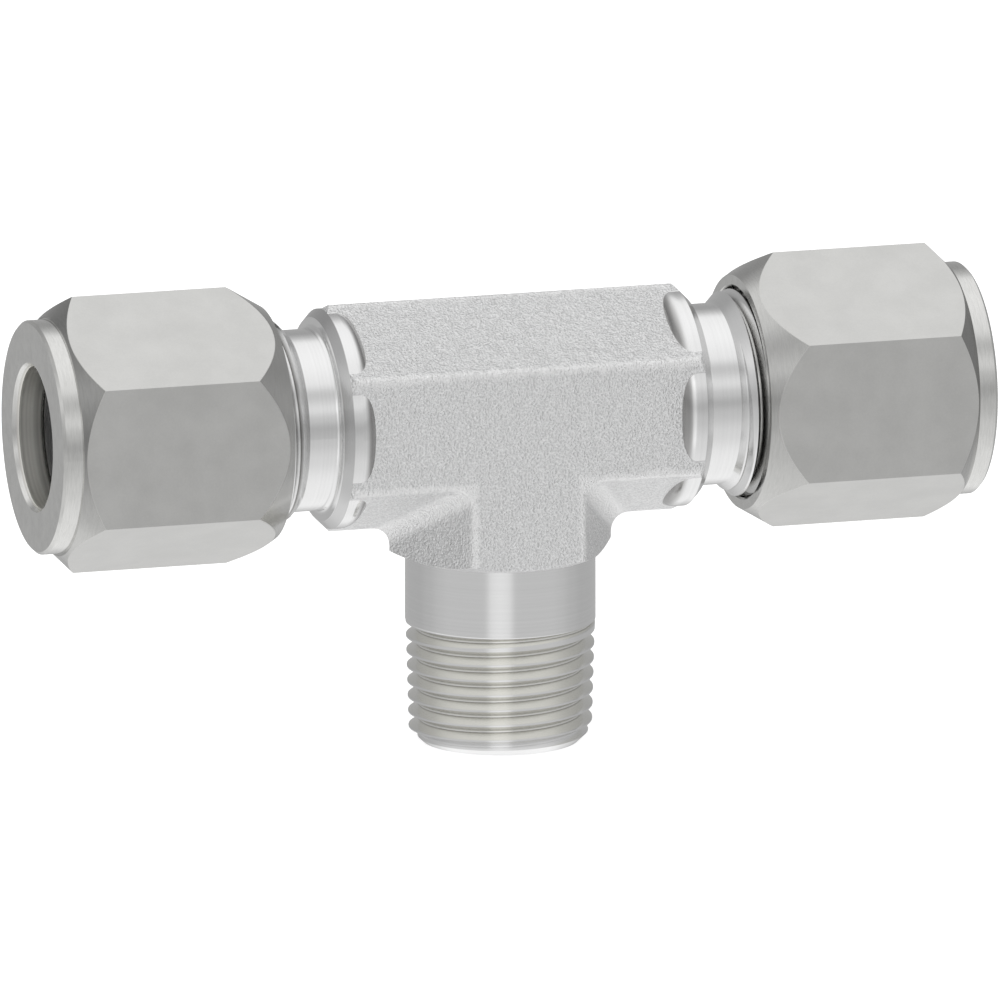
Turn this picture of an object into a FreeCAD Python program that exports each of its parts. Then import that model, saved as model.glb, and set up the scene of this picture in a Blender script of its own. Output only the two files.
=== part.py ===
import FreeCAD, Part
import math
import os
import Sketcher
from FreeCAD import Placement, Rotation, Vector

# A twin-ferrule compression fitting: a branch tee for 12.7 mm (1/2 inch) tube.
# Every length is in mm. Each body is drawn about the centre of the tee, with +X along
# the run and -Z down the branch, and is then lifted so that the origin of the whole
# part is the centre of the branch's end face.

doc = FreeCAD.newDocument("compression_fitting")

SIZES = [
    # the whole part
    ("run_height", 30.9, "branch end face up to the axis of the run"),
    ("thread_pitch", 1.27, "3/4-20 UNEF thread between body and nuts"),
    # the forged hexagons of the tee
    ("forging_flats", 18.374, "across the flats of both hexagons"),
    ("forging_reach", 17.5, "tee centre to the shoulder face of each run end"),
    ("forging_drop", 13.5, "tee centre down to the end of the branch hexagon"),
    ("underside_width", 2.4, "width of the cone cut under the branch hexagon"),
    ("underside_rise", 1.01, "rise of that cone over its width"),
    ("forging_edge", 0.5, "radius on the forging's outside edges"),
    ("crotch_radius", 2.1, "radius where run and branch meet"),
    # one machined run end, measured outward from the tee centre
    ("flats_end", 14.42, "where the flats run out against the collar"),
    ("collar_radius", 10.05, "round collar at the end of the forging"),
    ("collar_round", 1.5, "radius of the collar's inner shoulder"),
    ("collar_bevel", 0.75, "bevel on the collar's outer edge"),
    ("neck_start", 17.9, "start of the neck"),
    ("neck_radius", 8.3, "neck between collar and thread"),
    ("neck_fillet", 0.4, "radius between collar face and neck"),
    ("neck_end", 20.45, "end of the neck"),
    ("crest_radius", 9.47, "crests of the body thread"),
    ("root_radius", 8.73, "roots of the body thread"),
    ("root_width", 0.19, "flat at the bottom of the body thread"),
    ("cut_radius", 9.62, "top of the cutter's profile, just over the crests"),
    ("cut_width", 1.218, "width of the cutter's profile there"),
    ("groove_start", 19.05, "first groove of the body thread, inside the neck"),
    ("groove_travel", 15.24, "length of the threading cut"),
    ("body_end", 33.1, "end face of each run end"),
    ("body_end_bevel", 0.8, "bevel that leads the nut on"),
    # passages inside the tee
    ("socket_radius", 6.43, "tube socket"),
    ("tube_stop", 17.3, "step that the tube end rests on"),
    ("seat_start", 29.89, "small end of the ferrule seat"),
    ("seat_radius", 7.6, "large end of the ferrule seat, at the end face"),
    ("flow_radius", 5.2, "passage through the run"),
    ("branch_flow_radius", 4.8, "passage down the branch"),
    # the branch end, measured down from the tee centre
    ("branch_neck_radius", 8.7, "neck above the pipe thread"),
    ("taper_start", 19.6, "end of that neck"),
    ("taper_top_radius", 8.66, "thread crests at the top"),
    ("taper_bottom_radius", 8.383, "thread crests at the bottom"),
    ("taper_end", 29.75, "start of the end bevel"),
    ("branch_end_radius", 7.2, "end face of the branch"),
    ("branch_lip", 0.35, "bevel inside the branch's end"),
    ("pipe_pitch", 1.411, "3/8-18 NPT pipe thread"),
    ("pipe_angle", 1.7899, "half angle of the thread's taper, in degrees"),
    ("pipe_cut_depth", 32.415, "first groove of the pipe thread, below the end face"),
    ("pipe_cut_travel", 11.9935, "eight and a half turns of the pipe thread"),
    ("pipe_root_radius", 7.3, "bottom of that first groove"),
    ("pipe_root_width", 0.12, "flat at the bottom of the groove"),
    ("pipe_cut_radius", 8.34, "top of the cutter's profile at that depth"),
    ("pipe_cut_width", 1.321, "width of the cutter's profile there"),
    ("runout_depth", 20.4215, "where the last full turn ends"),
    ("runout_root", 7.675, "root radius there"),
    ("runout_cut", 8.715, "cutter's top radius there"),
    ("runout_travel", 0.85, "rise of the last part turn"),
    ("runout_angle", 50, "steep taper that lifts the cutter out, in degrees"),
    # a nut, measured outward from the tee centre
    ("nut_flats", 22.225, "across the flats of the nut, 7/8 inch"),
    ("nut_mouth", 22.55, "end of the nut nearest the tee"),
    ("nut_face", 44.25, "outer face of the nut"),
    ("mouth_edge_radius", 10.73, "outer edge of the nut's mouth"),
    ("mouth_cone_reach", 27, "where the mouth cone clears the corners"),
    ("clear_radius", 13.42, "a radius outside the nut's corners"),
    ("mouth_cone_back", 21.5, "where the mouth cone's cutter starts"),
    ("mouth_cone_foot", 10.096, "radius of the mouth cone's cutter there"),
    ("face_cone_start", 39.89, "where the outer cone's cutter starts"),
    ("face_cone_end", 42.42, "foot of the outer cone"),
    ("face_cone_radius", 10.89, "radius at the foot of the outer cone"),
    ("nut_collar_radius", 10.65, "round collar at the nut's outer end"),
    ("nut_collar_edge", 0.25, "bevel on that collar"),
    ("nut_bore_radius", 6.48, "tube hole of the nut"),
    ("nut_bore_bevel", 0.33, "width of the bevel at the tube hole's mouth"),
    ("nut_bore_bevel_depth", 0.55, "depth of that bevel"),
    ("counterbore_radius", 9.7, "plain bore inside the nut's mouth"),
    ("counterbore_end", 24.3, "where the nut's thread starts to rise"),
    ("minor_start", 25.17, "where the nut's thread is at full height"),
    ("minor_radius", 8.83, "crests of the nut's thread"),
    ("minor_end", 35.2, "end of the nut's thread"),
    ("relief_radius", 9.75, "groove that the threading tool runs out into"),
    ("relief_end", 36.6, "end of that groove"),
    ("cavity_radius", 8.5, "room for the ferrules"),
    ("drive_start", 39.65, "large end of the cone that drives the ferrules"),
    ("drive_end", 41.67, "small end of that cone"),
    ("nut_root_radius", 9.6, "roots of the nut's thread"),
    ("nut_root_width", 0.195, "flat at the bottom of the nut's thread"),
    ("nut_cut_radius", 8.7, "inner edge of the cutter's profile"),
    ("nut_cut_width", 1.234, "width of the cutter's profile there"),
    ("nut_groove_start", 23.495, "first groove of the nut's thread"),
    ("nut_groove_travel", 12.192, "length of the nut's threading cut"),
    # the ferrules, measured outward from the tee centre
    ("ferrule_bore", 6.42, "hole of both ferrules"),
    ("front_tip", 31.83, "nose of the front ferrule"),
    ("front_tip_radius", 6.77, "outside of its nose"),
    ("front_cone_end", 35.35, "large end of its cone"),
    ("front_rim_radius", 8.05, "rim of the front ferrule"),
    ("front_back", 37.4, "rear face of the front ferrule"),
    ("front_edge", 0.2, "small bevel on its rim"),
    ("front_dish_start", 36.37, "bottom of the dish that takes the back ferrule"),
    ("front_dish_radius", 7.45, "mouth of that dish"),
    ("rear_tip", 37.36, "nose of the back ferrule"),
    ("rear_tip_radius", 6.75, "outside of its nose"),
    ("rear_cone_end", 38.36, "large end of its cone"),
    ("rear_rim_radius", 7.75, "rim of the back ferrule"),
    ("rear_drive_start", 40.37, "start of the face that the nut drives"),
    ("rear_back", 41.25, "rear face of the back ferrule"),
    ("rear_back_radius", 6.87, "outside of that face"),
]

sheet = doc.addObject("Spreadsheet::Sheet", "dims")
for row, (name, size, note) in enumerate(SIZES, start=1):
    sheet.set(f"A{row}", name)
    sheet.set(f"B{row}", str(size))
    sheet.set(f"C{row}", note)
    sheet.setAlias(f"B{row}", name)
doc.recompute()


def size(formula):
    """A length such as 'nut_face - nut_collar_edge', as its number and its expression."""
    number, sign, words = 0.0, 1.0, []
    for word in formula.split():
        if word in ("+", "-"):
            sign = -1.0 if word == "-" else 1.0
            words.append(word)
            continue
        name, _, factor = word.partition("*")
        if name[0].isdigit():
            number += sign * float(name)
            words.append(name)
        else:
            number += sign * float(sheet.get(name)) * float(factor or 1)
            words.append(f"dims.{name} * {factor or 1}")
    return number, " ".join(words)


def plane(body, role):
    """One of the body's own origin planes."""
    return next(item for item in body.Origin.OriginFeatures if item.Role == role)


def outline(body, name, role, corners, rounds=()):
    """A closed sketch through corners, each fixed to the origin by two named lengths.

    rounds lists (side, radius, turn): that side is an arc, turn +1 when it runs
    counter-clockwise. Sides are counted from the first corner.
    """
    sketch = body.newObject("Sketcher::SketchObject", name)
    sketch.AttachmentSupport = [(plane(body, role), "")]
    sketch.MapMode = "FlatFace"
    count = len(corners)
    arcs = {side: (radius, turn) for side, radius, turn in rounds}
    spots = [Vector(across[0], along[0], 0) for across, along in corners]
    ends = []
    for side in range(count):
        start, end = spots[side], spots[(side + 1) % count]
        if side not in arcs:
            sketch.addGeometry(Part.LineSegment(start, end), False)
            ends.append((1, 2))
            continue
        radius, turn = arcs[side]
        chord = end - start
        sag = radius[0] - math.sqrt(radius[0] ** 2 - chord.Length**2 / 4)
        outward = Vector(chord.y, -chord.x, 0).normalize() * turn
        middle = (start + end) * 0.5 + outward * sag
        sketch.addGeometry(Part.Arc(start, middle, end), False)
        ends.append((1, 2) if turn > 0 else (2, 1))
    for side in range(count):
        after = (side + 1) % count
        joined = Sketcher.Constraint("Coincident", side, ends[side][1], after, ends[after][0])
        sketch.addConstraint(joined)
    for side, (across, along) in enumerate(corners):
        for kind, (number, words) in (("DistanceX", across), ("DistanceY", along)):
            fixed = Sketcher.Constraint(kind, -1, 1, side, ends[side][0], number)
            index = sketch.addConstraint(fixed)
            sketch.setExpression(f"Constraints[{index}]", words)
    for side, (radius, turn) in arcs.items():
        index = sketch.addConstraint(Sketcher.Constraint("Radius", side, radius[0]))
        sketch.setExpression(f"Constraints[{index}]", radius[1])
    return sketch


def profile(body, name, corners, rounds=(), role="XY_Plane"):
    """An outline whose corners are pairs of formulas."""
    points = [(size(across), size(along)) for across, along in corners]
    arcs = [(side, size(radius), turn) for side, radius, turn in rounds]
    return outline(body, name, role, points, arcs)


def hexagon(body, name, role, flats, first_turn):
    """A hexagon of the named width across flats, with a corner first_turn degrees round."""
    across_flats = sheet.get(flats)
    corners = []
    for index in range(6):
        angle = math.radians(first_turn + 60 * index)
        pair = []
        for part in (math.cos(angle), math.sin(angle)):
            factor = round(part / math.sqrt(3), 9)
            pair.append((across_flats * factor, f"dims.{flats} * {factor:.9f}"))
        corners.append(tuple(pair))
    return outline(body, name, role, corners)


def revolve(body, kind, name, sketch, axis):
    """Add or cut a full turn of the sketch about one of its own axes."""
    feature = body.newObject("PartDesign::" + kind, name)
    feature.Profile = sketch
    feature.ReferenceAxis = (sketch, [axis])
    feature.Angle = 360
    sketch.Visibility = False
    return feature


def thread(body, name, sketch, axis, pitch, travel, taper=None):
    """Cut a right-hand thread by sweeping the sketch along a helix."""
    feature = body.newObject("PartDesign::SubtractiveHelix", name)
    feature.Profile = sketch
    feature.ReferenceAxis = (sketch, [axis])
    feature.Mode = "pitch-height-angle"
    feature.setExpression("Pitch", "dims." + pitch)
    feature.setExpression("Height", "dims." + travel)
    if taper:
        feature.setExpression("Angle", "dims." + taper)
    else:
        feature.Angle = 0
    feature.LeftHanded = False
    feature.Reversed = False
    sketch.Visibility = False
    return feature


def tidy_edges(body, name, radius, wanted):
    """Round the edges of the body's last feature for which wanted(edge) is true."""
    before = body.Tip
    picked = [
        f"Edge{index}"
        for index, edge in enumerate(before.Shape.Edges, start=1)
        if wanted(edge)
    ]
    feature = body.newObject("PartDesign::Fillet", name)
    feature.Base = (before, picked)
    feature.setExpression("Radius", "dims." + radius)
    return feature


def new_body(label, turned=False):
    """An empty body at the height of the run, turned half round for the left end."""
    body = doc.addObject("PartDesign::Body", label)
    body.Label = label
    body.Placement = Placement(Vector(0, 0, 0), Rotation(Vector(0, 0, 1), 180 if turned else 0))
    body.setExpression(".Placement.Base.z", "dims.run_height")
    return body


def add_tee_body():
    """The forged tee with its two machined run ends and its tapered branch end."""
    body = new_body("tee_body")
    run = body.newObject("PartDesign::Pad", "run_hexagon")
    run.Profile = hexagon(body, "run_hexagon_sketch", "YZ_Plane", "forging_flats", 90)
    run.setExpression("Length", "dims.forging_reach * 2")
    run.Midplane = True
    branch = body.newObject("PartDesign::Pad", "branch_hexagon")
    branch.Profile = hexagon(body, "branch_hexagon_sketch", "XY_Plane", "forging_flats", 0)
    branch.setExpression("Length", "dims.forging_drop")
    branch.Reversed = True
    doc.recompute()

    half = sheet.get("forging_flats") / 2
    corner = sheet.get("forging_flats") / math.sqrt(3)

    def in_crotch(edge):
        """The four sloping edges where run and branch meet in a hollow."""
        middle = edge.CenterOfMass
        hollow = abs(abs(middle.x) + middle.z) < 0.01 and abs(middle.x) > 1
        return hollow and abs(middle.y) < half - 0.5

    tidy_edges(body, "crotch_rounds", "crotch_radius", in_crotch)
    doc.recompute()

    def long_corner(edge):
        """The corners that run the length of either hexagon."""
        if edge.Curve.TypeId != "Part::GeomLine":
            return False
        way = edge.tangentAt(edge.FirstParameter)
        middle = edge.CenterOfMass
        along_run = abs(way.x) > 0.999 and math.hypot(middle.y, middle.z) > corner - 0.01
        down_branch = abs(way.z) > 0.999 and math.hypot(middle.x, middle.y) > corner - 0.01
        return along_run or down_branch

    tidy_edges(body, "forging_edges", "forging_edge", long_corner)
    doc.recompute()

    # one run end, then the same end turned half round, so both threads are right-hand
    trim = profile(body, "collar_trim_sketch", [
        ("forging_reach + 0.6", "collar_radius - collar_bevel - 0.6"),
        ("forging_reach + 0.6", "collar_radius + 0.75"),
        ("forging_reach - collar_bevel - 0.75", "collar_radius + 0.75"),
    ])
    collar_trim = revolve(body, "Groove", "collar_trim", trim, "H_Axis")
    end = profile(body, "run_end_sketch", [
        ("6", "0"),
        ("body_end", "0"),
        ("body_end", "crest_radius - body_end_bevel"),
        ("body_end - body_end_bevel", "crest_radius"),
        ("neck_end + crest_radius - neck_radius", "crest_radius"),
        ("neck_end", "neck_radius"),
        ("neck_start", "neck_radius"),
        ("forging_reach", "neck_radius + neck_fillet"),
        ("forging_reach", "collar_radius - collar_bevel"),
        ("forging_reach - collar_bevel", "collar_radius"),
        ("flats_end + collar_round", "collar_radius"),
        ("flats_end", "collar_radius - collar_round"),
        ("flats_end - 1", "8.5"),
        ("6", "8.5"),
    ], [(6, "neck_fillet", -1), (10, "collar_round", 1)])
    run_end = revolve(body, "Revolution", "run_end", end, "H_Axis")
    doc.recompute()
    groove = profile(body, "run_thread_sketch", [
        ("groove_start - root_width*0.5", "root_radius"),
        ("groove_start + root_width*0.5", "root_radius"),
        ("groove_start + cut_width*0.5", "cut_radius"),
        ("groove_start - cut_width*0.5", "cut_radius"),
    ])
    run_thread = thread(body, "run_thread", groove, "H_Axis", "thread_pitch", "groove_travel")
    doc.recompute()
    both_ends = body.newObject("PartDesign::PolarPattern", "both_run_ends")
    both_ends.Originals = [collar_trim, run_end, run_thread]
    both_ends.Axis = (plane(body, "Z_Axis"), [""])
    both_ends.Angle = 360
    both_ends.Occurrences = 2
    body.Tip = both_ends

    # the underside of the branch hexagon, then the end machined down to the pipe thread
    underside = profile(body, "underside_sketch", [
        ("branch_neck_radius", "- forging_drop"),
        ("branch_neck_radius + underside_width", "- forging_drop + underside_rise"),
        ("branch_neck_radius + underside_width", "- forging_drop - 0.5"),
        ("branch_neck_radius", "- forging_drop - 0.5"),
    ], role="XZ_Plane")
    revolve(body, "Groove", "underside_cone", underside, "V_Axis")
    branch_end = profile(body, "branch_end_sketch", [
        ("0", "- 6"),
        ("8.5", "- 6"),
        ("8.5", "- forging_drop + 0.6"),
        ("branch_neck_radius", "- forging_drop + 0.3"),
        ("branch_neck_radius", "- taper_start"),
        ("taper_top_radius", "- taper_start - 0.08"),
        ("taper_bottom_radius", "- taper_end"),
        ("branch_end_radius", "- run_height"),
        ("0", "- run_height"),
    ], role="XZ_Plane")
    revolve(body, "Revolution", "branch_end", branch_end, "V_Axis")
    doc.recompute()

    # passages: one cut along the whole run, one down the branch
    bore = profile(body, "run_bore_sketch", [
        ("- body_end - 1", "0"),
        ("- body_end - 1", "seat_radius"),
        ("- body_end", "seat_radius"),
        ("- seat_start", "socket_radius"),
        ("- tube_stop", "socket_radius"),
        ("- tube_stop", "flow_radius"),
        ("tube_stop", "flow_radius"),
        ("tube_stop", "socket_radius"),
        ("seat_start", "socket_radius"),
        ("body_end", "seat_radius"),
        ("body_end + 1", "seat_radius"),
        ("body_end + 1", "0"),
    ])
    revolve(body, "Groove", "run_bore", bore, "H_Axis")
    branch_bore = profile(body, "branch_bore_sketch", [
        ("0", "0"),
        ("branch_flow_radius", "0"),
        ("branch_flow_radius", "- run_height + branch_lip"),
        ("branch_flow_radius + branch_lip", "- run_height"),
        ("branch_flow_radius + branch_lip", "- run_height - 1"),
        ("0", "- run_height - 1"),
    ], role="XZ_Plane")
    revolve(body, "Groove", "branch_bore", branch_bore, "V_Axis")
    doc.recompute()

    # the tapered pipe thread, whose last part turn runs out to nothing
    pipe = profile(body, "pipe_thread_sketch", [
        ("pipe_root_radius", "- pipe_cut_depth - pipe_root_width*0.5"),
        ("pipe_root_radius", "- pipe_cut_depth + pipe_root_width*0.5"),
        ("pipe_cut_radius", "- pipe_cut_depth + pipe_cut_width*0.5"),
        ("pipe_cut_radius", "- pipe_cut_depth - pipe_cut_width*0.5"),
    ], role="XZ_Plane")
    thread(body, "pipe_thread", pipe, "V_Axis", "pipe_pitch", "pipe_cut_travel", "pipe_angle")
    doc.recompute()
    runout = profile(body, "pipe_runout_sketch", [
        ("- runout_root", "- runout_depth - pipe_root_width*0.5"),
        ("- runout_root", "- runout_depth + pipe_root_width*0.5"),
        ("- runout_cut", "- runout_depth + pipe_cut_width*0.5"),
        ("- runout_cut", "- runout_depth - pipe_cut_width*0.5"),
    ], role="XZ_Plane")
    thread(body, "pipe_runout", runout, "V_Axis", "pipe_pitch", "runout_travel", "runout_angle")
    doc.recompute()
    return body


def add_nut(label, turned):
    """A long hexagon nut with a round collar at its outer end."""
    body = new_body(label, turned)
    blank = body.newObject("PartDesign::Pad", "nut_hexagon")
    shape = hexagon(body, "nut_hexagon_sketch", "YZ_Plane", "nut_flats", 90)
    blank.Profile = shape
    blank.setExpression("Length", "dims.nut_face - dims.nut_mouth")
    shape.AttachmentOffset = Placement(Vector(0, 0, sheet.get("nut_mouth")), Rotation())
    shape.setExpression(".AttachmentOffset.Base.z", "dims.nut_mouth")
    doc.recompute()
    mouth = profile(body, "mouth_cone_sketch", [
        ("mouth_cone_back", "mouth_cone_foot"),
        ("mouth_cone_reach", "clear_radius"),
        ("mouth_cone_back", "clear_radius"),
    ])
    revolve(body, "Groove", "mouth_cone", mouth, "H_Axis")
    collar = profile(body, "nut_collar_sketch", [
        ("face_cone_start", "clear_radius"),
        ("face_cone_end", "face_cone_radius"),
        ("face_cone_end", "nut_collar_radius"),
        ("nut_face - nut_collar_edge", "nut_collar_radius"),
        ("nut_face", "nut_collar_radius - nut_collar_edge"),
        ("nut_face + 0.5", "nut_collar_radius - nut_collar_edge"),
        ("nut_face + 0.5", "clear_radius"),
    ])
    revolve(body, "Groove", "nut_collar", collar, "H_Axis")
    bore = profile(body, "nut_bore_sketch", [
        ("nut_mouth - 1", "0"),
        ("nut_mouth - 1", "counterbore_radius + 0.15"),
        ("nut_mouth", "counterbore_radius + 0.15"),
        ("nut_mouth + 0.15", "counterbore_radius"),
        ("counterbore_end", "counterbore_radius"),
        ("minor_start", "minor_radius"),
        ("minor_end", "minor_radius"),
        ("minor_end + 0.5", "relief_radius"),
        ("relief_end - 0.3", "relief_radius"),
        ("relief_end", "cavity_radius"),
        ("drive_start", "cavity_radius"),
        ("drive_end", "nut_bore_radius"),
        ("nut_face - nut_bore_bevel_depth", "nut_bore_radius"),
        ("nut_face", "nut_bore_radius + nut_bore_bevel"),
        ("nut_face + 1", "nut_bore_radius + nut_bore_bevel"),
        ("nut_face + 1", "0"),
    ])
    revolve(body, "Groove", "nut_bore", bore, "H_Axis")
    groove = profile(body, "nut_thread_sketch", [
        ("nut_groove_start - nut_root_width*0.5", "nut_root_radius"),
        ("nut_groove_start - nut_cut_width*0.5", "nut_cut_radius"),
        ("nut_groove_start + nut_cut_width*0.5", "nut_cut_radius"),
        ("nut_groove_start + nut_root_width*0.5", "nut_root_radius"),
    ])
    doc.recompute()
    thread(body, "nut_thread", groove, "H_Axis", "thread_pitch", "nut_groove_travel")
    doc.recompute()
    return body


def add_front_ferrule(label, turned):
    """The ring whose nose is driven into the seat of the tee."""
    body = new_body(label, turned)
    ring = profile(body, "front_ferrule_sketch", [
        ("front_tip", "ferrule_bore"),
        ("front_dish_start", "ferrule_bore"),
        ("front_back", "front_dish_radius"),
        ("front_back", "front_rim_radius - front_edge"),
        ("front_back - front_edge", "front_rim_radius"),
        ("front_cone_end", "front_rim_radius"),
        ("front_tip", "front_tip_radius"),
    ])
    revolve(body, "Revolution", "front_ferrule", ring, "H_Axis")
    doc.recompute()
    return body


def add_back_ferrule(label, turned):
    """The ring that the nut drives under the rear of the front ferrule."""
    body = new_body(label, turned)
    ring = profile(body, "back_ferrule_sketch", [
        ("rear_tip", "ferrule_bore"),
        ("rear_back", "ferrule_bore"),
        ("rear_back", "rear_back_radius"),
        ("rear_drive_start", "rear_rim_radius"),
        ("rear_cone_end", "rear_rim_radius"),
        ("rear_tip", "rear_tip_radius"),
    ])
    revolve(body, "Revolution", "back_ferrule", ring, "H_Axis")
    doc.recompute()
    return body


bodies = [add_tee_body()]
for side, turned in (("right", False), ("left", True)):
    bodies.append(add_nut(f"{side}_nut", turned))
    bodies.append(add_front_ferrule(f"{side}_front_ferrule", turned))
    bodies.append(add_back_ferrule(f"{side}_back_ferrule", turned))
doc.recompute()

for item in doc.Objects:
    if "Invalid" in item.State or "Error" in item.State:
        raise RuntimeError(f"{item.Label} did not build")
os.makedirs("parts", exist_ok=True)
for body in bodies:
    if body.Shape.isNull() or not body.Shape.isValid():
        raise RuntimeError(f"{body.Label} is not a sound solid")
    body.Shape.exportStep(f"parts/{body.Label}.step")
    print(body.Label, round(body.Shape.Volume, 1), "mm3", len(body.Shape.Solids), "solid")
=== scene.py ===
import math

import bpy
from mathutils import Matrix, Vector


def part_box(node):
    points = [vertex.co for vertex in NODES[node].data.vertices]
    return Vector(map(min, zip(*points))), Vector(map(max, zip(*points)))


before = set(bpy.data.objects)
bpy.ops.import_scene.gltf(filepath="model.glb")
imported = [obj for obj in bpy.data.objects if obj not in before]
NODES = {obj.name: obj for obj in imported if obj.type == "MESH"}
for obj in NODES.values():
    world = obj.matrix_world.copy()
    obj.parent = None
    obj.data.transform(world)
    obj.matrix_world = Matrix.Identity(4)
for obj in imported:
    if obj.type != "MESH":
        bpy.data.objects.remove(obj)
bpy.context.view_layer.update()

# ---------------------------------------------------------------- sizes, in metres

MM = 0.001
NUT_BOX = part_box("right_nut")
RUN_HEIGHT = (NUT_BOX[0][2] + NUT_BOX[1][2]) / 2  # floor up to the run's axis
NUT_HALF_FLATS = (NUT_BOX[1][1] - NUT_BOX[0][1]) / 2
FLAT_START, FLAT_FULL = NUT_HALF_FLATS - 0.05 * MM, NUT_HALF_FLATS - 0.02 * MM
RING_RADIUS = 10.65 * MM  # the nut's round outer collar
CONE_START, CONE_FULL = RING_RADIUS + 0.02 * MM, RING_RADIUS + 0.1 * MM
BORE_RADIUS = 6.6 * MM  # just outside the tube hole
TUBE_END = 32 * MM  # a nut's cone past this distance from the centre is the one at the tube end

COLLAR_RADIUS = 10.05 * MM
COLLAR_ROUND = 1.5 * MM  # radius the cutter leaves where the collar meets the forging
COLLAR_START = 15.92 * MM  # from the centre
COLLAR_CONE = 26.8 * MM  # distance along the run plus radius, on the collar's bevel
COLLAR_END = 17.48 * MM
BEVEL_START = 15 * MM  # nearer the centre than this, nothing is the bevel
# painted shade: a darker crescent at the collar shoulder's inner end, between these distances from the
# centre
SHOULDER_SHADE_START, SHOULDER_SHADE_FULL = COLLAR_START - 0.25 * MM, COLLAR_START - 0.95 * MM
SHOULDER_SHADE_END, SHOULDER_SHADE_INSIDE = 14 * MM, 9 * MM  # the painted shade at the shoulder lies farther out than these, along and across
BODY_THREAD_START = 18.5 * MM
PASSAGE_RADIUS = 8.9 * MM  # inside this, round the run's axis, all is turned
BRANCH_PASSAGE_RADIUS = 8.5 * MM
BRANCH_CUT = -13.45 * MM  # below this, from the run's axis, the branch is turned
PIPE_THREAD_TOP = -19.6 * MM
PIPE_TAPER = 0.0312  # change of radius along the pipe thread
PIPE_CREST = 9.2 * MM  # radius less the taper, just under the crests
END_BEVEL_TOP = 1.3 * MM  # above the floor
CORNER_START, CORNER_FULL = 10.50 * MM, 10.75 * MM  # radii between which a flat turns into a corner
HOLLOW_START, HOLLOW_FULL = 1.9 * MM, 1.0 * MM  # distances from the crotch between run and branch
HOLLOW_HALF_WIDTH = 9.1 * MM
HOLLOW_TOP = -6 * MM
CLEARANCE = 0.05 * MM  # keeps a cut surface on the right side of its mask

CENTRE = Vector((0, 0, RUN_HEIGHT))
AZIMUTH, ELEVATION = math.radians(-16.737), math.radians(12.683)  # of the camera, from the front


# ---------------------------------------------------------------- node helpers


class Graph:
    """A node tree, with short calls for the nodes used here."""

    def __init__(self, tree):
        self.tree = tree

    def link(self, source, target):
        self.tree.links.new(source, target)

    def feed(self, socket, value):
        """Links or sets a socket, whichever the value is for."""
        if isinstance(value, bpy.types.NodeSocket):
            self.link(value, socket)
        else:
            socket.default_value = value

    def math(self, operation, *values):
        node = self.tree.nodes.new("ShaderNodeMath")
        node.operation = operation
        for socket, value in zip(node.inputs, values):
            self.feed(socket, value)
        return node.outputs[0]

    def chain(self, operation, first, *others):
        """One operation over any number of values, from left to right."""
        for value in others:
            first = self.math(operation, first, value)
        return first

    def both(self, *masks):
        return self.chain("MULTIPLY", *masks)

    def either(self, *masks):
        return self.chain("MAXIMUM", *masks)

    def above(self, value, limit):
        return self.math("GREATER_THAN", value, limit)

    def below(self, value, limit):
        return self.math("LESS_THAN", value, limit)

    def opposite(self, mask):
        return self.math("SUBTRACT", 1.0, mask)

    def smooth(self, value, low, high):
        """Runs from 0 to 1 as the value goes from low to high."""
        node = self.tree.nodes.new("ShaderNodeMapRange")
        node.interpolation_type = "SMOOTHSTEP"
        for name, number in (("Value", value), ("From Min", low), ("From Max", high)):
            self.feed(node.inputs[name], number)
        return node.outputs["Result"]

    def mix(self, share, first, second):
        """Mixes two colours."""
        node = self.tree.nodes.new("ShaderNodeMix")
        node.data_type = "RGBA"
        for index, value in ((0, share), (6, first), (7, second)):
            self.feed(node.inputs[index], value)
        return node.outputs[2]

    def blend(self, share, first, second):
        """Mixes two numbers."""
        node = self.tree.nodes.new("ShaderNodeMix")
        node.data_type = "FLOAT"
        for index, value in ((0, share), (2, first), (3, second)):
            self.feed(node.inputs[index], value)
        return node.outputs[0]

    def split(self, vector):
        node = self.tree.nodes.new("ShaderNodeSeparateXYZ")
        self.link(vector, node.inputs[0])
        return node.outputs[0], node.outputs[1], node.outputs[2]

    def join(self, x, y, z):
        node = self.tree.nodes.new("ShaderNodeCombineXYZ")
        for socket, value in zip(node.inputs, (x, y, z)):
            self.feed(socket, value)
        return node.outputs[0]

    def radius(self, a, b):
        """Distance from an axis, from the two coordinates across it."""
        return self.math("SQRT", self.math("ADD", self.math("MULTIPLY", a, a), self.math("MULTIPLY", b, b)))

    def ramp(self, value, stops):
        """A smooth curve through (position, level) stops, with positions from 0 to 1."""
        node = self.tree.nodes.new("ShaderNodeValToRGB")
        node.color_ramp.interpolation = "EASE"
        elements = node.color_ramp.elements
        while len(elements) < len(stops):
            elements.new(0.5)
        for element, (position, level) in zip(elements, stops):
            element.position = position
            element.color = (level, level, level, 1)
        self.link(value, node.inputs[0])
        return node.outputs[0]


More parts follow.
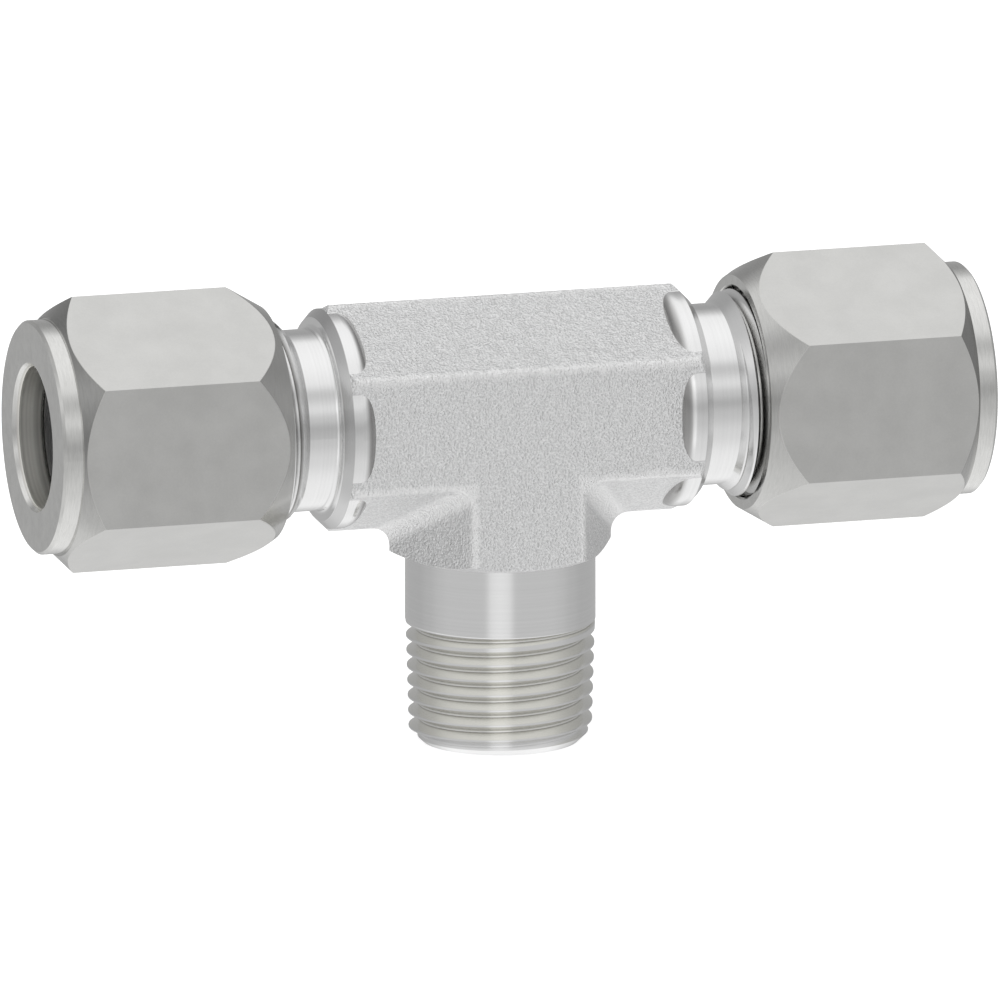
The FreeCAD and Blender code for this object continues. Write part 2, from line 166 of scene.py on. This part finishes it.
class Surface(Graph):
    """A material's node tree, with one shader and the patterns that metal needs."""

    OUTWARD_SHARE = 0.35  # how much of the outward direction goes into a turned surface's tangent
    AO_SAMPLES = 8

    def __init__(self, name):
        self.material = bpy.data.materials.new(name)
        self.material.use_nodes = True
        super().__init__(self.material.node_tree)
        self.tree.nodes.clear()
        out = self.tree.nodes.new("ShaderNodeOutputMaterial")
        self.shader = self.tree.nodes.new("ShaderNodeBsdfPrincipled")
        self.link(self.shader.outputs["BSDF"], out.inputs["Surface"])

    def set(self, name, value):
        self.feed(self.shader.inputs[name], value)

    def place(self):
        """The surface point in the part's own frame, in metres."""
        return self.tree.nodes.new("ShaderNodeTexCoord").outputs["Object"]

    def noise(self, vector, scale, detail=2.0, roughness=0.6):
        node = self.tree.nodes.new("ShaderNodeTexNoise")
        self.link(vector, node.inputs["Vector"])
        node.inputs["Scale"].default_value = scale
        node.inputs["Detail"].default_value = detail
        node.inputs["Roughness"].default_value = roughness
        return node.outputs["Fac"]

    def tool_marks(self, x, y, z):
        """Fine rings round the run, a little uneven on the way round."""
        return self.noise(self.join(self.math("MULTIPLY", x, 9.0), y, z), 900)

    def paint_hollow_shade(self, colour, reach, shut=0.05, clear=0.62, dark=0.18):
        """Paints shade into a colour where the surface is hemmed in, darker in grooves and hollows."""
        node = self.tree.nodes.new("ShaderNodeAmbientOcclusion")
        node.samples = self.AO_SAMPLES
        self.feed(node.inputs["Distance"], reach)
        open_share = self.smooth(node.outputs["AO"], shut, clear)
        return self.mix(open_share, grey(dark, 0.04, 0.02), colour)

    def lay(self, axis, outward):
        """Sets the tangent of a turned surface, so that its gloss spreads across the tool's rings.

        axis is the axis of turning and outward points away from it, as two lists of three.
        """
        parts = [self.math("MULTIPLY_ADD", o, self.OUTWARD_SHARE, a) for a, o in zip(axis, outward)]
        node = self.tree.nodes.new("ShaderNodeVectorTransform")
        node.vector_type = "VECTOR"
        node.convert_from, node.convert_to = "OBJECT", "WORLD"
        self.link(self.join(*parts), node.inputs[0])
        self.set("Tangent", node.outputs[0])

    def bump(self, height, strength, distance, normal=None):
        node = self.tree.nodes.new("ShaderNodeBump")
        self.feed(node.inputs["Height"], height)
        self.feed(node.inputs["Strength"], strength)
        node.inputs["Distance"].default_value = distance
        if normal is not None:
            self.link(normal, node.inputs["Normal"])
        return node.outputs["Normal"]


def grey(level, warmth=0.0, green=0.0):
    """A colour a little warmer, or cooler if warmth is negative, or greener than neutral grey."""
    return (level * (1 + warmth), level * (1 + green), level * (1 - warmth), 1.0)


def steel(level):
    """The nuts' plain colour: grey with a trace of straw."""
    return grey(level, 0.012, 0.01)


# ---------------------------------------------------------------- materials

TURNED_BUMP = 0.004 * MM
BLASTED_BUMP = 0.22 * MM
GROOVE_REACH = 0.5 * MM  # how near a facing wall has to be for painted shade in a groove
MOUTH_REACH = 1.15 * MM  # the same, round the mouth of a nut
NO_REACH = 0.01 * MM


def nut_material():
    """Satin flats, and turned cones, rings, faces and bore."""
    g = Surface("satin_nut")
    place = g.place()
    x, y, z = g.split(place)
    up = g.math("SUBTRACT", z, RUN_HEIGHT)
    radius = g.radius(y, up)
    # a point is on a flat when it is as far out as the flats are, in the direction of one of them
    reach = g.math("ABSOLUTE", y)
    for tilt in (math.radians(60), math.radians(-60)):
        across = g.math("ADD", g.math("MULTIPLY", y, math.cos(tilt)), g.math("MULTIPLY", up, math.sin(tilt)))
        reach = g.either(reach, g.math("ABSOLUTE", across))
    flat = g.smooth(reach, FLAT_START, FLAT_FULL)
    clouds = g.noise(place, 260, 3, 0.55)
    fine = g.noise(place, 5200)
    marks = g.tool_marks(x, y, z)
    tone = g.math("ADD", g.math("MULTIPLY", clouds, 0.10), g.math("MULTIPLY", fine, 0.04))
    flat_colour = g.mix(g.smooth(tone, 0.03, 0.11), steel(0.58), steel(0.66))
    # painted shade: the cone at the tube end is painted darker toward its top
    painted_shade_share = g.both(g.smooth(up, -8 * MM, 2 * MM), g.above(g.math("ABSOLUTE", x), TUBE_END))
    cone_colour = g.mix(painted_shade_share, g.mix(marks, steel(0.50), steel(0.62)), g.mix(marks, steel(0.30), steel(0.40)))
    ring_colour = g.mix(marks, steel(0.60), steel(0.79))
    cone = g.smooth(radius, CONE_START, CONE_FULL)
    colour = g.mix(flat, g.mix(cone, ring_colour, cone_colour), flat_colour)
    # the tube hole is reamed, with rougher and browner rings
    bands = g.noise(g.join(x, 0.0, 0.0), 900)
    bore = g.below(radius, BORE_RADIUS)
    bore_colour = g.mix(g.smooth(bands, 0.40, 0.60), grey(0.62, 0.03, 0.02), grey(0.98, 0.03, 0.02))
    # painted shade in the nut's grooves and hollows, outside the tube hole
    g.set("Base Color", g.mix(bore, g.paint_hollow_shade(colour, GROOVE_REACH), bore_colour))
    g.set("Metallic", 1.0)
    outer_roughness = g.blend(flat, 0.17, g.math("MULTIPLY_ADD", clouds, 0.08, 0.30))
    g.set("Roughness", g.blend(bore, outer_roughness, 0.42))
    g.set("Anisotropic", 0.25)
    g.lay((1.0, 0.0, 0.0), (0.0, g.math("DIVIDE", y, radius), g.math("DIVIDE", up, radius)))
    g.set("Normal", g.bump(g.math("ADD", fine, marks), 0.25, TURNED_BUMP))
    return g.material


def ferrule_material():
    """Turned all over."""
    g = Surface("turned_ferrule")
    x, y, z = g.split(g.place())
    up = g.math("SUBTRACT", z, RUN_HEIGHT)
    radius = g.radius(y, up)
    marks = g.tool_marks(x, y, z)
    g.set("Base Color", g.mix(marks, grey(0.58), grey(0.74)))
    g.set("Metallic", 1.0)
    g.set("Roughness", g.math("MULTIPLY_ADD", marks, 0.08, 0.20))
    g.set("Anisotropic", 0.5)
    g.lay((1.0, 0.0, 0.0), (0.0, g.math("DIVIDE", y, radius), g.math("DIVIDE", up, radius)))
    g.set("Normal", g.bump(marks, 0.2, TURNED_BUMP))
    return g.material


def tee_material():
    """A blasted forging, turned bright at its three ends and in its passages."""
    g = Surface("blasted_forging")
    place = g.place()
    x, y, z = g.split(place)
    out = g.math("ABSOLUTE", x)
    up = g.math("SUBTRACT", z, RUN_HEIGHT)
    radius = g.radius(y, up)
    branch_radius = g.radius(x, y)

    # which areas the turning tool has cut: the collar's rounded shoulder, its bevel, and all past them
    rise = g.math("MAXIMUM", g.math("SUBTRACT", radius, COLLAR_RADIUS - COLLAR_ROUND), 0.0)
    rise = g.math("MINIMUM", rise, COLLAR_ROUND)
    drop = g.math("SUBTRACT", COLLAR_ROUND**2, g.math("MULTIPLY", rise, rise))
    drop = g.math("SQRT", g.math("MAXIMUM", 0.0, drop))
    past = g.above(out, g.math("SUBTRACT", COLLAR_START - CLEARANCE, drop))
    inside = g.below(radius, COLLAR_RADIUS + 0.6 * CLEARANCE)
    bevel = g.both(g.above(g.math("ADD", out, radius), COLLAR_CONE - CLEARANCE), g.above(out, BEVEL_START))
    run_end = g.both(inside, g.either(past, bevel))
    branch_end = g.below(up, BRANCH_CUT)
    branch_passage = g.both(g.below(up, 0.0), g.below(branch_radius, BRANCH_PASSAGE_RADIUS))
    passage = g.either(g.below(radius, PASSAGE_RADIUS), branch_passage)
    turned = g.either(run_end, branch_end, passage)

    # turned areas: the bevel and the shoulder's inner end carry painted shade, and the pipe thread's flanks
    # differ in tone
    along = g.blend(branch_end, x, up)
    rings = g.noise(g.join(g.math("MULTIPLY", along, 4.0), 0.0, 0.0), 900)
    turned_colour = g.mix(rings, grey(0.78), grey(0.90))
    # painted shade: the collar's bevel is painted a darker grey
    turned_colour = g.mix(g.both(bevel, g.below(out, COLLAR_END)), turned_colour, grey(0.62))
    # painted shade: the shoulder's inner end is painted darker, as a crescent
    painted_shade_share = g.smooth(out, SHOULDER_SHADE_START, SHOULDER_SHADE_FULL)
    painted_shade_share = g.both(painted_shade_share, g.above(radius, SHOULDER_SHADE_INSIDE), g.above(out, SHOULDER_SHADE_END))
    turned_colour = g.mix(painted_shade_share, turned_colour, grey(0.42, 0.01))
    untapered = g.math("ADD", branch_radius, g.math("MULTIPLY", up, -PIPE_TAPER))
    thread = g.both(branch_end, g.below(untapered, PIPE_CREST), g.below(up, PIPE_THREAD_TOP))
    turned_colour = g.mix(thread, turned_colour, grey(0.86, 0.02, 0.015))
    end_bevel = g.below(z, END_BEVEL_TOP)
    turned_colour = g.mix(end_bevel, turned_colour, grey(0.91))

    # blasted areas: small dents, and painted highlights on corners and hollows, with a ragged edge
    dents = g.noise(place, 4800, 2, 0.55)
    lumps = g.noise(place, 900, 2, 0.5)
    blasted_colour = g.mix(g.smooth(dents, 0.3, 0.7), grey(0.74, -0.002), grey(0.95, -0.002))
    from_crotch = g.math("ADD", out, up)
    corner = g.blend(g.below(from_crotch, 0.0), radius, branch_radius)
    ragged = g.math("MULTIPLY_ADD", lumps, 0.5 * MM, corner)
    corner_highlight = g.smooth(ragged, CORNER_START, CORNER_FULL)
    hollow_highlight = g.smooth(g.math("ABSOLUTE", from_crotch), HOLLOW_START, HOLLOW_FULL)
    hollow_highlight = g.both(hollow_highlight, g.below(g.math("ABSOLUTE", y), HOLLOW_HALF_WIDTH), g.below(up, HOLLOW_TOP))
    # painted highlight: corners and the crotch's hollows are painted near white
    blasted_colour = g.mix(g.either(corner_highlight, hollow_highlight), blasted_colour, grey(0.96))

    # grooves get painted shade, most of all round the nuts' mouths, but not the bevel next to the floor
    colour = g.mix(turned, blasted_colour, turned_colour)
    mouth = g.above(out, BODY_THREAD_START)
    reach = g.blend(mouth, g.blend(end_bevel, GROOVE_REACH, NO_REACH), MOUTH_REACH)
    shut = g.blend(mouth, 0.05, 0.15)
    clear = g.blend(mouth, 0.62, 0.74)
    # the base colour carries painted shade where the surface is hemmed in
    g.set("Base Color", g.paint_hollow_shade(colour, reach, shut, clear, 0.20))
    g.set("Metallic", 1.0)
    g.set("Roughness", g.blend(turned, 0.42, 0.16))
    g.set("Anisotropic", 0.3)
    on_run = g.opposite(branch_end)
    outward = (
        g.both(branch_end, g.math("DIVIDE", x, branch_radius)),
        g.math("DIVIDE", y, g.blend(branch_end, radius, branch_radius)),
        g.both(on_run, g.math("DIVIDE", up, radius)),
    )
    g.lay((on_run, 0.0, branch_end), outward)
    relief = g.math("ADD", dents, g.math("MULTIPLY", lumps, 0.8))
    blast = g.bump(relief, g.opposite(turned), BLASTED_BUMP)
    g.set("Normal", g.bump(rings, g.math("MULTIPLY", turned, 0.2), TURNED_BUMP, blast))
    return g.material


def set_material(node, material):
    mesh = NODES[node].data
    mesh.materials.clear()
    mesh.materials.append(material)


set_material("tee_body", tee_material())
nut, ferrule = nut_material(), ferrule_material()
for side in ("left", "right"):
    set_material(f"{side}_nut", nut)
    set_material(f"{side}_front_ferrule", ferrule)
    set_material(f"{side}_back_ferrule", ferrule)


# ---------------------------------------------------------------- stage

FLOOR_HALF_SIDE = 3


def floor_material():
    """White paper that gives off a little light, so that no edge or shadow shows."""
    g = Surface("floor_paper")
    grain = g.noise(g.place(), 700, 3)
    g.set("Base Color", g.mix(grain, grey(0.88), grey(0.92)))
    g.set("Roughness", 0.9)
    g.set("Specular IOR Level", 0.1)
    g.set("Emission Color", grey(1.0))
    g.set("Emission Strength", 0.6)
    return g.material


def lay_floor():
    far = FLOOR_HALF_SIDE
    mesh = bpy.data.meshes.new("floor")
    mesh.from_pydata([(-far, -far, 0), (far, -far, 0), (far, far, 0), (-far, far, 0)], [], [(0, 1, 2, 3)])
    mesh.materials.append(floor_material())
    floor = bpy.data.objects.new("floor", mesh)
    bpy.context.scene.collection.objects.link(floor)
    floor.visible_glossy = False  # metal mirrors the studio's light all round, not the paper


def light_tent():
    """White above and below, with soft grey panels standing around the object."""
    world = bpy.data.worlds.new("light_tent")
    bpy.context.scene.world = world
    world.use_nodes = True
    g = Graph(world.node_tree)
    background = g.tree.nodes["Background"]
    x, y, z = g.split(g.tree.nodes.new("ShaderNodeTexCoord").outputs["Generated"])
    # facing runs from 1 on the camera's side to -1 behind the object, and turn from 0 to 1
    sideways = g.math("MULTIPLY", x, math.sin(AZIMUTH))
    ahead = g.math("SUBTRACT", sideways, g.math("MULTIPLY", y, math.cos(AZIMUTH)))
    facing = g.math("DIVIDE", ahead, g.math("MAXIMUM", g.radius(x, y), 0.001))
    limited = g.math("MINIMUM", g.math("MAXIMUM", facing, -1.0), 1.0)
    turn = g.math("DIVIDE", g.math("ARCCOSINE", limited), math.pi)
    side_level = 0.66
    panels = g.ramp(turn, (
        (0.0, 0.97), (0.05, 0.93), (0.11, side_level), (0.37, side_level),
        (0.43, 0.63), (0.54, 0.55), (0.64, 0.50), (1.0, 0.50),
    ))
    # height runs from 0 straight down to 1 straight up
    height = g.math("MULTIPLY_ADD", z, 0.5, 0.5)
    in_front = g.ramp(height, (
        (0.0, 0.98), (0.18, 0.78), (0.39, 0.60), (0.50, 0.47), (0.60, 0.62),
        (0.70, 0.84), (0.83, 0.62), (0.92, 0.95), (1.0, 1.05),
    ))
    behind = g.ramp(height, (
        (0.0, 0.98), (0.12, 1.02), (0.20, 0.92), (0.30, 0.66), (0.5, 0.54),
        (0.72, 0.50), (0.80, 0.62), (0.90, 1.0), (1.0, 1.05),
    ))
    tent = g.blend(g.smooth(facing, -0.35, 0.25), behind, in_front)
    band = g.both(g.smooth(z, -0.85, -0.55), g.smooth(z, 0.75, 0.45))
    panel_share = g.blend(band, 1.0, g.math("DIVIDE", panels, side_level))
    g.link(g.math("MULTIPLY", tent, panel_share), background.inputs["Strength"])
    background.inputs["Color"].default_value = (1, 1, 1, 1)


lay_floor()
light_tent()
bpy.context.scene.view_settings.view_transform = "Standard"

# ---------------------------------------------------------------- camera

DISTANCE = 2.4  # metres
SENSOR = 36  # millimetres
FRAME_WIDTH = 91.0526 * MM  # what the frame takes in at the tee's distance
AIM_LEFT, AIM_DOWN = 0.0219 * MM, 8.446 * MM  # the aim, from the tee's centre, as the camera sees it


def set_camera():
    back = Vector((
        math.sin(AZIMUTH) * math.cos(ELEVATION),
        -math.cos(AZIMUTH) * math.cos(ELEVATION),
        math.sin(ELEVATION),
    ))
    right = Vector((math.cos(AZIMUTH), math.sin(AZIMUTH), 0))
    upward = back.cross(right)
    aim = CENTRE - right * AIM_LEFT - upward * AIM_DOWN
    data = bpy.data.cameras.new("camera")
    data.sensor_width = SENSOR
    data.lens = SENSOR * DISTANCE / FRAME_WIDTH
    data.clip_start, data.clip_end = 0.05, 50
    camera = bpy.data.objects.new("camera", data)
    bpy.context.scene.collection.objects.link(camera)
    camera.location = aim + back * DISTANCE
    camera.rotation_mode = "QUATERNION"
    camera.rotation_quaternion = Matrix((right, upward, back)).transposed().to_quaternion()
    bpy.context.scene.camera = camera


set_camera()
